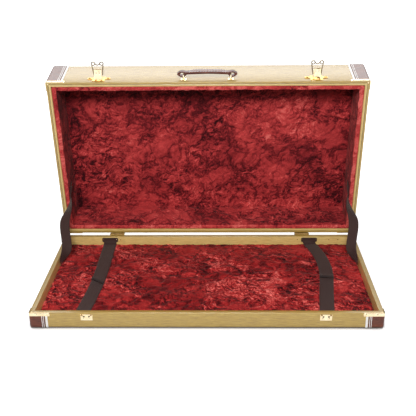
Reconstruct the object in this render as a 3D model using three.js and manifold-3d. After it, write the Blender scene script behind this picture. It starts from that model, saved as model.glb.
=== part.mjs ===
// A wide, tweed-covered guitar case, open: a shallow tray that lies flat and a deep shell that
// stands up behind it on two butt hinges, held by two webbing stays.
//
// Units are millimetres, +Z is up. The origin is the centre of the tray's underside, +X runs along
// the case and +Y points to the hinges. The shell, its latches and its handle are modelled in the
// shell's own axes: x along the case, y (called v) from the rim to the back panel, and z (called u)
// from the hinge side to the handle side, with the hinge axis at v = 0, u = 0.

import * as THREE from 'three';
import { mergeVertices } from 'three/addons/utils/BufferGeometryUtils.js';
import Module from 'manifold-3d';

const wasm = await Module();
wasm.setup();

// ---------------------------------------------------------------- driving dimensions
const LENGTH = 1040;
const WIDTH = 576;
const TRAY_HEIGHT = 52;
const SHELL_DEPTH = 150;
const WALL = 15;
const PANEL = 6;
const LEAN = THREE.MathUtils.degToRad(10);
const HINGE_OFFSET = 6;
const RIM_GAP = 0.3;
const GAP = 0.3;
const EDGE_RADIUS = 8;
const CORNER_RADIUS = 4;

const HALF_X = LENGTH / 2;
const HALF_Y = WIDTH / 2;
const INNER_X = HALF_X - WALL;
const INNER_Y = HALF_Y - WALL;
const RIM_Z = TRAY_HEIGHT - RIM_GAP;
const SHELL_LOW = HINGE_OFFSET;
const SHELL_HIGH = HINGE_OFFSET + WIDTH;

// corner patches and rim brackets
const PATCH_REACH = 57;
const PATCH_PROUD = 1.8;
const BRACKET_PROUD = 2.4;
const BRACKET_HEIGHT = 11.5;
const BRACKET_LONG = 61;
const BRACKET_SHORT = 30;

// linings
const TRAY_PAD = 17;
const BACK_PAD = 12;
const SIDE_PAD = 14;

// hinges
const HINGE_X = 333;
const HINGE_WIDTH = 50;
const LEAF = 1.6;
const LEAF_LENGTH = 38;
const KNUCKLE_R = 5;
const PIN_R = 1.8;
const MIDDLE_KNUCKLE = 17;

// latches: a drawbolt with a lever and a wire bail that catches two lugs on a keeper
const LATCH_X = 351;
const PIVOT_V = 20;
const PIVOT_H = 8;
const BAIL_PIVOT_V = 10;
const BAIL_PIVOT_H = -2.5;
const BAIL_REACH = 41.5;
const BAIL_EAR_X = 13.5;
const BAIL_EAR_R = 7;
const WIRE_R = 1.5;
const KEEPER_WIDTH = 35;
const KEEPER_LOW = 27;
const KEEPER_HIGH = 47;
const KEEPER_PLATE = 1.5;
const KEEPER_LUG = { halfWidth: 2.5, proud: 9, top: 6, bottom: 9 };
const KEEPER_RIVET = { x: 9, z: 33, radius: 2.6, height: 1 };
const BASE_PLATE = { halfWidth: 20, near: 8, far: 44, top: 2 };
const BASE_EAR = { x: 29.5, v: 30, radius: 8, halfWidth: 6 };
const BASE_RIVET = { radius: 4.5, height: 2.2 };
const BASE_CHEEK = { x: 8.5, half: 1, round: 3.5, back: 6 };
const LEVER = { halfWidth: 12, tail: -4, tip: 31, low: 4, high: 6, lipR: 1.8 };
const LEVER_CHEEK = { x: 11, half: 1, round: 4, pivotRound: 3 };
const LEVER_SLOT = { x: 5, halfWidth: 1.75, from: 14, to: 24 };

// handle
const HANDLE_V = 22;
const HANDLE_END_X = 76;
const HANDLE_PIVOT_H = 5.3;
const HANDLE_WIDTH = 24;
const HANDLE_END_WIDTH = 18;
const FOOT_PLATE = { halfX: 9, halfV: 8, top: 1.5 };
const FOOT_LUG = { x: 3.2, half: 1, round: 3.2 };
const FOOT_RIVET = { radius: 1.8, height: 0.8 };

// straps
const WEBBING = 1.8;
const STAY_WIDTH = 34;
const TIE_WIDTH = 45;

// ---------------------------------------------------------------- materials
const finish = (color, roughness, metalness = 0) => ({ color, roughness, metalness });
const TWEED = finish(0xb89c68, 0.9);
const BOARD = finish(0xa98f60, 0.9);
const PLUSH = finish(0x8e1f26, 1.0);
const LEATHER = finish(0x6a3b2a, 0.6);
const BRASS = finish(0xd2ad5c, 0.3, 1.0);
const STEEL = finish(0xa9a5a0, 0.35, 1.0);
const STRAP = finish(0x46332f, 0.85);

// ---------------------------------------------------------------- geometry helpers
function solid(geometry) {
  const bare = geometry.index ? geometry.toNonIndexed() : geometry.clone();
  bare.deleteAttribute('normal');
  bare.deleteAttribute('uv');
  const merged = mergeVertices(bare, 1e-4);
  return new wasm.Manifold(new wasm.Mesh({
    numProp: 3,
    vertProperties: new Float32Array(merged.attributes.position.array),
    triVerts: new Uint32Array(merged.index.array),
  }));
}

function geometryOf(body) {
  const mesh = body.getMesh();
  const geometry = new THREE.BufferGeometry();
  geometry.setAttribute('position', new THREE.BufferAttribute(new Float32Array(mesh.vertProperties), 3));
  geometry.setIndex(new THREE.BufferAttribute(new Uint32Array(mesh.triVerts), 1));
  geometry.computeVertexNormals();
  return geometry;
}

function box(x0, x1, y0, y1, z0, z1) {
  const geometry = new THREE.BoxGeometry(x1 - x0, y1 - y0, z1 - z0);
  return geometry.translate((x0 + x1) / 2, (y0 + y1) / 2, (z0 + z1) / 2);
}

const block = (...sides) => solid(box(...sides));

function rod(radius, from, to, sides = 20) {
  const start = new THREE.Vector3(...from);
  const span = new THREE.Vector3(...to).sub(start);
  const geometry = new THREE.CylinderGeometry(radius, radius, span.length(), sides);
  const turn = new THREE.Quaternion().setFromUnitVectors(
    new THREE.Vector3(0, 1, 0), span.clone().normalize());
  return geometry.applyQuaternion(turn).translate(...start.addScaledVector(span, 0.5).toArray());
}

// a flat dome, its base at the point and its height along +z
function rivet(radius, height, x, y, z) {
  const profile = [new THREE.Vector2(0, -0.5), new THREE.Vector2(radius, -0.5)];
  for (let step = 0; step <= 3; step += 1) {
    const angle = step * Math.PI / 6;
    profile.push(new THREE.Vector2(radius * Math.cos(angle), height * Math.sin(angle)));
  }
  return new THREE.LatheGeometry(profile, 12).rotateX(Math.PI / 2).translate(x, y, z);
}

// closed skin over a stack of rings that all have the same number of points
function loft(rings) {
  const count = rings[0].length;
  const points = rings.flat();
  const faces = [];
  for (let row = 0; row < rings.length - 1; row += 1) {
    for (let i = 0; i < count; i += 1) {
      const a = row * count + i;
      const b = row * count + (i + 1) % count;
      faces.push(a, b, b + count, a, b + count, a + count);
    }
  }
  const last = (rings.length - 1) * count;
  for (let i = 1; i < count - 1; i += 1) {
    faces.push(0, i + 1, i, last, last + i, last + i + 1);
  }
  const geometry = new THREE.BufferGeometry().setFromPoints(points);
  geometry.setIndex(faces);
  geometry.computeVertexNormals();
  return geometry;
}

function roundedRing(halfX, halfY, radius, z) {
  const ring = [];
  const quarter = 4;
  for (const [sx, sy, start] of [[1, 1, 0], [-1, 1, 1], [-1, -1, 2], [1, -1, 3]]) {
    for (let step = 0; step <= quarter; step += 1) {
      const angle = (start + step / quarter) * Math.PI / 2;
      const x = sx * (halfX - radius) + radius * Math.cos(angle);
      const y = sy * (halfY - radius) + radius * Math.sin(angle);
      ring.push(new THREE.Vector3(x, y, z));
    }
  }
  return ring;
}

// the outside of a tray or shell, grown by some amount: square to the rim, its base edge rounded
function envelope(grow, height) {
  const rings = [];
  const steps = 5;
  for (let step = 0; step <= steps; step += 1) {
    const angle = step / steps * Math.PI / 2;
    const radius = EDGE_RADIUS + grow;
    const inset = radius * (1 - Math.sin(angle)) - grow;
    const corner = Math.max(CORNER_RADIUS - inset, 0.4);
    const z = EDGE_RADIUS - radius * Math.cos(angle);
    rings.push(roundedRing(HALF_X - inset, HALF_Y - inset, corner, z));
  }
  rings.push(roundedRing(HALF_X + grow, HALF_Y + grow, CORNER_RADIUS + grow, height));
  return solid(loft(rings));
}

// a flat outline in the (y, z) plane, extruded along x
function plateX(outline, x0, x1, holes = []) {
  const shape = new THREE.Shape(outline.map(([y, z]) => new THREE.Vector2(y, z)));
  shape.holes = holes.map((hole) => new THREE.Path(hole.map(([y, z]) => new THREE.Vector2(y, z))));
  const geometry = new THREE.ExtrudeGeometry(shape, { depth: x1 - x0, bevelEnabled: false });
  const axes = new THREE.Matrix4().makeBasis(
    new THREE.Vector3(0, 1, 0), new THREE.Vector3(0, 0, 1), new THREE.Vector3(1, 0, 0));
  return geometry.applyMatrix4(axes).translate(x0, 0, 0);
}

function arc(cx, cy, radius, from, to, steps) {
  const points = [];
  for (let step = 0; step <= steps; step += 1) {
    const angle = THREE.MathUtils.degToRad(from + (to - from) * step / steps);
    points.push([cx + radius * Math.cos(angle), cy + radius * Math.sin(angle)]);
  }
  return points;
}

// a strap: stations along its middle, each with the direction of its width
function strap(stations, width, thickness) {
  const rings = stations.map(({ at, across }, i) => {
    const before = stations[Math.max(i - 1, 0)].at;
    const after = stations[Math.min(i + 1, stations.length - 1)].at;
    const along = after.clone().sub(before).normalize();
    const side = across.clone().addScaledVector(along, -across.dot(along)).normalize();
    const face = along.clone().cross(side);
    return [[-1, -1], [1, -1], [1, 1], [-1, 1]].map(([s, f]) => at.clone()
      .addScaledVector(side, s * width / 2).addScaledVector(face, f * thickness / 2));
  });
  return loft(rings);
}

// ---------------------------------------------------------------- scene graph
const caseGroup = new THREE.Group();
const shell = new THREE.Group();
shell.position.set(0, HALF_Y + HINGE_OFFSET, TRAY_HEIGHT);
shell.rotation.x = LEAN;
caseGroup.add(shell);

function piece(name, shape, look, parent = caseGroup) {
  const geometry = shape.isBufferGeometry ? shape : geometryOf(shape);
  const mesh = new THREE.Mesh(geometry, new THREE.MeshStandardMaterial(look));
  mesh.name = name;
  parent.add(mesh);
  return mesh;
}

const SIDES = [['left', -1], ['right', 1]];

// ---------------------------------------------------------------- the two boxes
// Both halves are the same box in its own axes: base down, rim up. The shell's box is then turned
// so that its rim faces -v. "hinge" and "front" name the long walls of either half.
function boxWalls(height) {
  const outside = envelope(0, height + 1);
  const long = (y0, y1) => outside.intersect(block(-HALF_X, HALF_X, y0, y1, 0, height));
  const end = (side) => {
    const near = side * INNER_X;
    const far = side * HALF_X;
    const reach = INNER_Y - GAP;
    return outside.intersect(block(Math.min(near, far), Math.max(near, far), -reach, reach, 0, height));
  };
  return {
    front: long(-HALF_Y, -INNER_Y),
    hinge: long(INNER_Y, HALF_Y),
    left: end(-1),
    right: end(1),
  };
}

// one leather patch wraps a vertical corner up to the rim bracket; the bracket wraps it at the rim
function cornerCover(height, sx, sy, grow, reachX, reachY, z0, z1) {
  const x = [sx * (HALF_X - reachX), sx * (HALF_X + 5)].sort((a, b) => a - b);
  const y = [sy * (HALF_Y - reachY), sy * (HALF_Y + 5)].sort((a, b) => a - b);
  return envelope(grow, height + 1)
    .subtract(envelope(GAP, height + 2))
    .intersect(block(...x, ...y, z0, z1));
}

function buildBox(prefix, height, parent, turn) {
  const place = (name, body, look) => piece(name, turn(geometryOf(body)), look, parent);
  const walls = boxWalls(height);
  for (const [name, body] of Object.entries(walls)) {
    place(`${prefix}_wall_${name}`, body, TWEED);
  }
  const panel = block(-INNER_X + GAP, INNER_X - GAP, -INNER_Y + GAP, INNER_Y - GAP, 0, PANEL);
  place(`${prefix}_${prefix === 'tray' ? 'bottom' : 'back'}_panel`, panel, BOARD);
  const bracketLow = height - BRACKET_HEIGHT;
  for (const [endName, sx] of SIDES) {
    for (const [sideName, sy] of [['front', -1], ['hinge', 1]]) {
      const corner = `${sideName}_${endName}`;
      place(`${prefix}_corner_${corner}`, cornerCover(
        height, sx, sy, PATCH_PROUD, PATCH_REACH, PATCH_REACH, GAP, bracketLow - GAP), LEATHER);
      place(`${prefix}_bracket_${corner}`, cornerCover(
        height, sx, sy, BRACKET_PROUD, BRACKET_LONG, BRACKET_SHORT, bracketLow, height), BRASS);
    }
  }
}

// the shell's box: its base plane goes to v = SHELL_DEPTH, its front walls to the handle side
const shellTurn = new THREE.Matrix4().makeBasis(
  new THREE.Vector3(1, 0, 0), new THREE.Vector3(0, 0, -1), new THREE.Vector3(0, -1, 0))
  .setPosition(0, SHELL_DEPTH, HINGE_OFFSET + HALF_Y);

// that basis mirrors the box, which is symmetric in x, so its faces are wound the other way
function intoShell(geometry) {
  const turned = geometry.clone().applyMatrix4(shellTurn);
  if (shellTurn.determinant() < 0) {
    const index = turned.index.array;
    for (let i = 0; i < index.length; i += 3) {
      [index[i + 1], index[i + 2]] = [index[i + 2], index[i + 1]];
    }
    turned.computeVertexNormals();
  }
  return turned;
}

buildBox('tray', RIM_Z, caseGroup, (geometry) => geometry);
buildBox('shell', SHELL_DEPTH - RIM_GAP, shell, intoShell);

// ---------------------------------------------------------------- linings
piece('tray_lining_pad', box(
  -INNER_X + 2 * GAP, INNER_X - 2 * GAP, -INNER_Y + 2 * GAP, INNER_Y - 2 * GAP,
  PANEL + GAP, PANEL + GAP + TRAY_PAD), PLUSH);

const BACK_V = SHELL_DEPTH - PANEL - GAP;
const LINING_V0 = 2;
const LINING_V1 = BACK_V - BACK_PAD - GAP;
const LINING_LOW = SHELL_LOW + WALL + GAP;
const LINING_HIGH = SHELL_HIGH - WALL - GAP;
const LINING_X = INNER_X - GAP;
piece('shell_lining_back', box(
  -LINING_X, LINING_X, BACK_V - BACK_PAD, BACK_V, LINING_LOW, LINING_HIGH), PLUSH, shell);
piece('shell_lining_hinge', box(
  -LINING_X, LINING_X, LINING_V0, LINING_V1, LINING_LOW, LINING_LOW + SIDE_PAD), PLUSH, shell);
piece('shell_lining_front', box(
  -LINING_X, LINING_X, LINING_V0, LINING_V1, LINING_HIGH - SIDE_PAD, LINING_HIGH), PLUSH, shell);
for (const [name, side] of SIDES) {
  const x = [side * LINING_X, side * (LINING_X - SIDE_PAD)].sort((a, b) => a - b);
  piece(`shell_lining_${name}`, box(
    ...x, LINING_V0, LINING_V1,
    LINING_LOW + SIDE_PAD + GAP, LINING_HIGH - SIDE_PAD - GAP), PLUSH, shell);
}

// ---------------------------------------------------------------- hinges
// A leaf in its own axes: the hinge axis is the x axis, the wall lies at y = -HINGE_OFFSET and the
// leaf runs down from the axis. The spans are the x ranges of its own knuckles.
function hingeLeaf(spans, otherSpans) {
  const half = HINGE_WIDTH / 2;
  const wallSide = -HINGE_OFFSET;
  let leaf = block(-half, half, wallSide, wallSide + LEAF, -LEAF_LENGTH, -0.5);
  for (const [x0, x1] of otherSpans) {
    leaf = leaf.subtract(block(x0 - GAP, x1 + GAP, wallSide - 1, wallSide + LEAF + 1, -3, 1));
  }
  for (const [x0, x1] of spans) {
    leaf = leaf.add(solid(rod(KNUCKLE_R, [x0, 0, 0], [x1, 0, 0], 24)));
  }
  leaf = leaf.subtract(solid(rod(PIN_R + GAP, [-half - 1, 0, 0], [half + 1, 0, 0], 24)));
  for (const [x, z] of [[-17, -12], [17, -12], [0, -24]]) {
    leaf = leaf.add(solid(rivet(3, 1, 0, 0, 0)
      .rotateX(-Math.PI / 2).translate(x, wallSide + LEAF, z - 5)));
  }
  return geometryOf(leaf);
}

const PIN_END = HINGE_WIDTH / 2 + 1.6;
const PIN_HEAD_R = 3;
const middleSpan = [[-MIDDLE_KNUCKLE / 2, MIDDLE_KNUCKLE / 2]];
const outerSpans = [
  [-HINGE_WIDTH / 2, -MIDDLE_KNUCKLE / 2 - 0.5], [MIDDLE_KNUCKLE / 2 + 0.5, HINGE_WIDTH / 2]];
const hingePin = solid(rod(PIN_R, [-PIN_END, 0, 0], [PIN_END, 0, 0], 16))
  .add(solid(rod(PIN_HEAD_R, [-PIN_END, 0, 0], [-HINGE_WIDTH / 2 - GAP, 0, 0], 16)))
  .add(solid(rod(PIN_HEAD_R, [HINGE_WIDTH / 2 + GAP, 0, 0], [PIN_END, 0, 0], 16)));

for (const [name, side] of SIDES) {
  const x = side * HINGE_X;
  piece(`hinge_leaf_tray_${name}`, hingeLeaf(outerSpans, middleSpan), BRASS)
    .position.set(x, HALF_Y + HINGE_OFFSET, TRAY_HEIGHT);
  piece(`hinge_pin_${name}`, geometryOf(hingePin), STEEL)
    .position.set(x, HALF_Y + HINGE_OFFSET, TRAY_HEIGHT);
  // the shell's leaf lies on the hinge-side wall, whose outside faces -u
  const shellLeaf = hingeLeaf(middleSpan, outerSpans).rotateX(Math.PI / 2);
  piece(`hinge_leaf_shell_${name}`, shellLeaf, BRASS, shell).position.set(x, 0, 0);
}

// ---------------------------------------------------------------- keepers
for (const [name, side] of SIDES) {
  const face = -HALF_Y - GAP;
  const lugHigh = TRAY_HEIGHT - KEEPER_LUG.top;
  const lugLow = TRAY_HEIGHT - KEEPER_LUG.bottom;
  let keeper = block(
    -KEEPER_WIDTH / 2, KEEPER_WIDTH / 2, face - KEEPER_PLATE, face, KEEPER_LOW, KEEPER_HIGH);
  for (const x of [-BAIL_EAR_X, BAIL_EAR_X]) {
    keeper = keeper.add(block(
      x - KEEPER_LUG.halfWidth, x + KEEPER_LUG.halfWidth,
      face - KEEPER_LUG.proud, face - 1, lugLow, lugHigh));
  }
  for (const x of [-KEEPER_RIVET.x, KEEPER_RIVET.x]) {
    const head = rivet(KEEPER_RIVET.radius, KEEPER_RIVET.height, 0, 0, 0).rotateX(Math.PI / 2);
    keeper = keeper.add(solid(head.translate(x, face - KEEPER_PLATE, KEEPER_RIVET.z)));
  }
  piece(`keeper_${name}`, keeper, BRASS).position.set(side * LATCH_X, 0, 0);
}

// ---------------------------------------------------------------- latches
// In a latch's own axes x runs along the case, y is v and z is the height h above the shell's wall.
function latchBase() {
  const { halfWidth, near, far, top } = BASE_PLATE;
  let base = block(-halfWidth, halfWidth, near, far, GAP, top);
  for (const side of [-1, 1]) {
    const ear = side * BASE_EAR.x;
    const { v } = BASE_EAR;
    base = base.add(block(
      Math.min(0, ear), Math.max(0, ear), v - BASE_EAR.halfWidth, v + BASE_EAR.halfWidth, GAP, top));
    base = base.add(solid(rod(BASE_EAR.radius, [ear, v, GAP], [ear, v, top])));
    base = base.add(solid(rivet(BASE_RIVET.radius, BASE_RIVET.height, ear, v, top)));
    const { half, round, back } = BASE_CHEEK;
    const sunk = 1.5 - PIVOT_H;
    const cheek = [[back, sunk], [back, round], ...arc(0, 0, round, 90, 180, 5), [-round, sunk]];
    base = base.add(solid(
      plateX(cheek, -half, half).translate(side * BASE_CHEEK.x, PIVOT_V, PIVOT_H)));
  }
  return base.add(solid(rod(WIRE_R, [-12.3, PIVOT_V, PIVOT_H], [12.3, PIVOT_V, PIVOT_H], 12)));
}

// the lever lies closed in these axes, its pivot at the origin
function latchLever() {
  const { halfWidth, tail, tip, low, high } = LEVER;
  const lip = high - 0.6;
  let lever = block(-halfWidth, halfWidth, tail, tip, low, high);
  lever = lever.add(solid(rod(LEVER.lipR, [-halfWidth, tip, lip], [halfWidth, tip, lip], 14)));
  const { round, pivotRound, half } = LEVER_CHEEK;
  const cheek = [
    [-round, low + 0.5], ...arc(0, 0, round, 180, 250, 4),
    ...arc(BAIL_PIVOT_V, BAIL_PIVOT_H, pivotRound, 250, 360, 5),
    [BAIL_PIVOT_V + pivotRound, low + 0.5]];
  for (const x of [-LEVER_CHEEK.x, LEVER_CHEEK.x]) {
    lever = lever.add(solid(plateX(cheek, x - half, x + half)));
  }
  lever = lever.subtract(solid(rod(WIRE_R + GAP, [-14, 0, 0], [14, 0, 0], 16)));
  lever = lever.subtract(solid(
    rod(WIRE_R + GAP, [-14, BAIL_PIVOT_V, BAIL_PIVOT_H], [14, BAIL_PIVOT_V, BAIL_PIVOT_H], 16)));
  for (const x of [-LEVER_SLOT.x, LEVER_SLOT.x]) {
    lever = lever.subtract(block(
      x - LEVER_SLOT.halfWidth, x + LEVER_SLOT.halfWidth, LEVER_SLOT.from, LEVER_SLOT.to,
      low - 1, high + 1));
  }
  return geometryOf(lever);
}

// the bail stands up from its pivot in these axes: one bent wire with two ears at its top
function latchBail() {
  const earTop = BAIL_REACH - BAIL_EAR_R;
  const ear = arc(BAIL_EAR_X, earTop, BAIL_EAR_R, 0, 135, 6);
  const half2D = [[9.8, 0], [12.2, 0], [14, 1.2], [14.4, 4], [15.5, 14], [18.8, 27], ...ear, [5, 35.4]];
  const mirrored = half2D.map(([x, z]) => [-x, z]);
  const outline = [...mirrored, [0, 31.8], ...half2D.slice().reverse()];
  const path = new THREE.CatmullRomCurve3(
    outline.map(([x, z]) => new THREE.Vector3(x, 0, z)), false, 'centripetal');
  const section = new THREE.Shape(arc(0, 0, WIRE_R, 0, 315, 7).map(([x, y]) => new THREE.Vector2(x, y)));
  return new THREE.ExtrudeGeometry(section, { steps: 96, bevelEnabled: false, extrudePath: path });
}

for (const [name, side] of SIDES) {
  const latch = new THREE.Group();
  latch.position.set(side * LATCH_X, 0, SHELL_HIGH);
  shell.add(latch);
  piece(`latch_base_${name}`, latchBase(), BRASS, latch);

  // the lever stands at a right angle to the wall, the bail stands up beside it
  const lever = piece(`latch_lever_${name}`, latchLever(), BRASS, latch);
  lever.position.set(0, PIVOT_V, PIVOT_H);
  lever.rotation.x = Math.PI / 2;
  const bail = piece(`latch_bail_${name}`, latchBail(), BRASS, latch);
  bail.position.set(0, PIVOT_V - BAIL_PIVOT_H, PIVOT_H + BAIL_PIVOT_V);
}

// ---------------------------------------------------------------- handle
// In the handle's own axes x runs along the case, y is v from the handle's middle line and z is the
// height above the shell's wall.
function handleFoot() {
  const { halfX, halfV, top } = FOOT_PLATE;
  const { half, round } = FOOT_LUG;
  let foot = block(-halfX, halfX, -halfV, halfV, GAP, top);
  for (const x of [-FOOT_LUG.x, FOOT_LUG.x]) {
    const lug = [[round, 1], ...arc(0, HANDLE_PIVOT_H, round, 0, 180, 8), [-round, 1]];
    foot = foot.add(solid(plateX(lug, x - half, x + half)));
    foot = foot.add(solid(rivet(FOOT_RIVET.radius, FOOT_RIVET.height, x * 2.1, 0, top)));
  }
  return foot.add(solid(rod(WIRE_R, [-4.2, 0, HANDLE_PIVOT_H], [4.2, 0, HANDLE_PIVOT_H], 12)));
}

// a flat stamped link: an eye at the foot's pin, and a bar that the leather is looped over
function handleLink() {
  const wide = HANDLE_END_WIDTH / 2 + 3.5;
  const outline = [
    ...arc(0, 0, 3.3, 200, 340, 6), [wide, 5], [wide, 14.2], [wide - 2, 16.2],
    [-wide + 2, 16.2], [-wide, 14.2], [-wide, 5]];
  const window = [[-wide + 2.8, 5.8], [-wide + 2.8, 12.8], [wide - 2.8, 12.8], [wide - 2.8, 5.8]];
  const link = solid(plateX(outline, -1.6, 1.6, [window]));
  return link.subtract(solid(rod(WIRE_R + GAP, [-3, 0, 0], [3, 0, 0], 16)));
}

function handleStrap() {
  const upper = [[40, 30.2], [64, 27.2], [74, 28.8], [82, 29.8], [90, 26], [96.5, 20.4]];
  const lower = [[90, 14], [82, 10.8], [75, 12], [69, 15.6], [64, 19.6], [40, 21.6]];
  const outline = new THREE.SplineCurve([
    [0, 31], ...upper, ...lower, [0, 22.7], ...lower.map(([x, z]) => [-x, z]).reverse(),
    ...upper.map(([x, z]) => [-x, z]).reverse(), [0, 31]].map(([x, z]) => new THREE.Vector2(x, z)));
  const shape = new THREE.Shape(outline.getPoints(100).slice(0, -1));
  for (const side of [-1, 1]) {
    const eye = arc(0, 0, 1, 0, 337.5, 15).map(([x, z]) => new THREE.Vector2(
      side * 80.6 + 8.4 * x, 20.2 + 4.9 * z));
    shape.holes.push(new THREE.Path(eye));
  }
  const flat = new THREE.ExtrudeGeometry(shape, { depth: HANDLE_WIDTH, bevelEnabled: false });
  let grip = solid(flat.rotateX(Math.PI / 2).translate(0, HANDLE_WIDTH / 2, 0));
  for (const sx of [-1, 1]) {
    for (const sy of [-1, 1]) {
      const x = [sx * 66, sx * 110].sort((a, b) => a - b);
      const y = [sy * HANDLE_END_WIDTH / 2, sy * HANDLE_WIDTH].sort((a, b) => a - b);
      grip = grip.subtract(block(...x, ...y, 0, 40));
    }
  }
  return grip;
}

const handle = new THREE.Group();
handle.position.set(0, HANDLE_V, SHELL_HIGH);
shell.add(handle);
for (const [name, side] of SIDES) {
  const x = side * HANDLE_END_X;
  piece(`handle_foot_${name}`, handleFoot(), BRASS, handle).position.set(x, 0, 0);
  piece(`handle_link_${name}`, handleLink(), BRASS, handle).position.set(x, 0, HANDLE_PIVOT_H);
}
piece('handle_strap', handleStrap(), LEATHER, handle);

// ---------------------------------------------------------------- webbing stays
// Each stay runs taut from the tray's end wall to the shell's end wall. It lies flat on the wall at
// both ends and turns half a turn between them.
const STAY_FOOT = new THREE.Vector3(INNER_X - 3.2, 90, 38);
const STAY_HEAD = { inset: SIDE_PAD + 6.5, v: 50, u: 184 };
const STAY_STEPS = 28;
const STAY_TWIST = [0.04, 0.68];
shell.updateMatrixWorld(true);
for (const [name, side] of SIDES) {
  const foot = new THREE.Vector3(side * STAY_FOOT.x, STAY_FOOT.y, STAY_FOOT.z);
  const head = new THREE.Vector3(side * (INNER_X - STAY_HEAD.inset), STAY_HEAD.v, STAY_HEAD.u)
    .applyMatrix4(shell.matrixWorld);
  const along = head.clone().sub(foot).normalize();
  const flat = new THREE.Vector3(0, 1, 0).addScaledVector(along, -along.y).normalize();
  const stations = [];
  for (let step = 0; step <= STAY_STEPS; step += 1) {
    const t = step / STAY_STEPS;
    const turned = THREE.MathUtils.smoothstep(t, STAY_TWIST[0], STAY_TWIST[1]) * Math.PI * side;
    stations.push({
      at: foot.clone().lerp(head, t),
      across: flat.clone().applyAxisAngle(along, turned),
    });
  }
  piece(`stay_strap_${name}`, strap(stations, STAY_WIDTH, WEBBING), STRAP);
}

// ---------------------------------------------------------------- tie-down straps
// Two pieces a side: one from the hinge-side wall, one from the front wall, lapped on the lining.
const PAD_TOP = PANEL + GAP + TRAY_PAD;
const TIE_LOW = PAD_TOP + 1.3;
const TIE_HIGH = TIE_LOW + WEBBING + 0.4;
const LAP_HINGE = -30;
const LAP_FRONT = 50;
const TIE_ROUTES = {
  left: [[-270, -377], [-235, -373], [-100, -361], [0, -356], [90, -355], [270, -357]],
  right: [[-270, 357], [-235, 361], [-100, 376], [0, 388], [90, 391], [185, 380], [270, 358]],
};

// the middle of a tie-down strap at some distance y from the case's middle line
function routeX(route, y) {
  const next = route.findIndex(([at]) => at >= y);
  const [y1, x1] = route[Math.max(next, 1)];
  const [y0, x0] = route[Math.max(next, 1) - 1];
  return THREE.MathUtils.lerp(x0, x1, (y - y0) / (y1 - y0));
}

// lies on the lining at the given level and turns up against the wall at wallY
function tieStations(route, wallY, lapY, level) {
  const outward = Math.sign(wallY);
  const profile = [[wallY + outward, 15], [wallY + outward, 7], [wallY - 2.5 * outward, 2]];
  const steps = 8;
  for (let step = 0; step <= steps; step += 1) {
    profile.push([THREE.MathUtils.lerp(wallY - 12 * outward, lapY, step / steps), 0]);
  }
  return profile.map(([y, rise]) => ({
    at: new THREE.Vector3(routeX(route, Math.min(Math.max(y, -270), 270)), y, level + rise),
    across: new THREE.Vector3(1, 0, 0),
  }));
}

for (const [name] of SIDES) {
  const route = TIE_ROUTES[name];
  const fromHinge = tieStations(route, 270, LAP_HINGE, TIE_HIGH);
  const fromFront = tieStations(route, -270, LAP_FRONT, TIE_LOW);
  piece(`tie_strap_hinge_${name}`, strap(fromHinge, TIE_WIDTH, WEBBING), STRAP);
  piece(`tie_strap_front_${name}`, strap(fromFront, TIE_WIDTH, WEBBING), STRAP);
}

export default caseGroup;
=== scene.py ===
"""A wide tweed guitar case with a crushed plush lining, open on its two webbing stays.

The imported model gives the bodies, the hardware and every place. This script covers it with
tweed, plush, leather and webbing, and looks at it from the front and a little above. Shapes are
worked out in millimetres in the axes of the half that they belong to, and stored in metres."""
import math

import bpy
import bmesh
import numpy as np
from mathutils import Matrix, Vector, noise


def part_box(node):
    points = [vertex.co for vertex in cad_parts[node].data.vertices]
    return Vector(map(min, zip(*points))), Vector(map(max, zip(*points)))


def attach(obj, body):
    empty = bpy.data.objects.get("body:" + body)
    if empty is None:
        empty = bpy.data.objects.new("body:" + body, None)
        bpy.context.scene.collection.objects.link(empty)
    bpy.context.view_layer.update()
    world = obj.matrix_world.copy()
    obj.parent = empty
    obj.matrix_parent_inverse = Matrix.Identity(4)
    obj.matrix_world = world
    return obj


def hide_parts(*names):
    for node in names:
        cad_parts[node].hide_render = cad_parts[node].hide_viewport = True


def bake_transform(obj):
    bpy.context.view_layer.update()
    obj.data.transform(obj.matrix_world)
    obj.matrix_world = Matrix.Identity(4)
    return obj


# Blender seeds its noise vectors from the clock, and the crushed pile is made of them
PILE_SEED = 5
noise.seed_set(PILE_SEED)

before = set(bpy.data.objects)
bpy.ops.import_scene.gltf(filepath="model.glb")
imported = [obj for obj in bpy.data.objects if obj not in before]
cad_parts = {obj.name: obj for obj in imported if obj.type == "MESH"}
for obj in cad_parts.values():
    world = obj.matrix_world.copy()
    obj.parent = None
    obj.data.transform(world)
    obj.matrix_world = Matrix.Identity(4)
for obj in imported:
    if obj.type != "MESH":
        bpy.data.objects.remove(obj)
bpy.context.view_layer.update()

# ------------------------------------------------------------------ sizes, in millimetres
MM = 0.001
WALL = 15.0
PANEL = 6.0
GAP = 0.3
EDGE_R = 8.0
CORNER_R = 4.0
HALF_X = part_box("tray_wall_right")[1].x / MM
HALF_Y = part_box("tray_wall_hinge")[1].y / MM
TRAY_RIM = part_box("tray_wall_front")[1].z / MM
HINGE_OFFSET = 6.0
HINGE_Y = HALF_Y + HINGE_OFFSET
HINGE_Z = TRAY_RIM + GAP
SHELL_DEPTH = 150.0
SHELL_RIM = SHELL_DEPTH - GAP
SHELL_HIGH = HINGE_OFFSET + 2 * HALF_Y
LEAN = math.radians(10)
INNER_X = HALF_X - WALL
INNER_Y = HALF_Y - WALL

TRAY_PAD = 17.0
BACK_PAD = 12.0
SIDE_PAD = 14.0
PAD_TOP = PANEL + GAP + TRAY_PAD

BRACKET_HEIGHT = 11.5
BRACKET_LONG = 61.0
BRACKET_SHORT = 30.0

LATCH_X = 351.0
BAIL_V = 22.5
BAIL_BASE = 18.0
BAIL_WIRE = 1.7
EAR_X = 13.5
EAR_H = 36.8
EAR_R = 5.4
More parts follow.
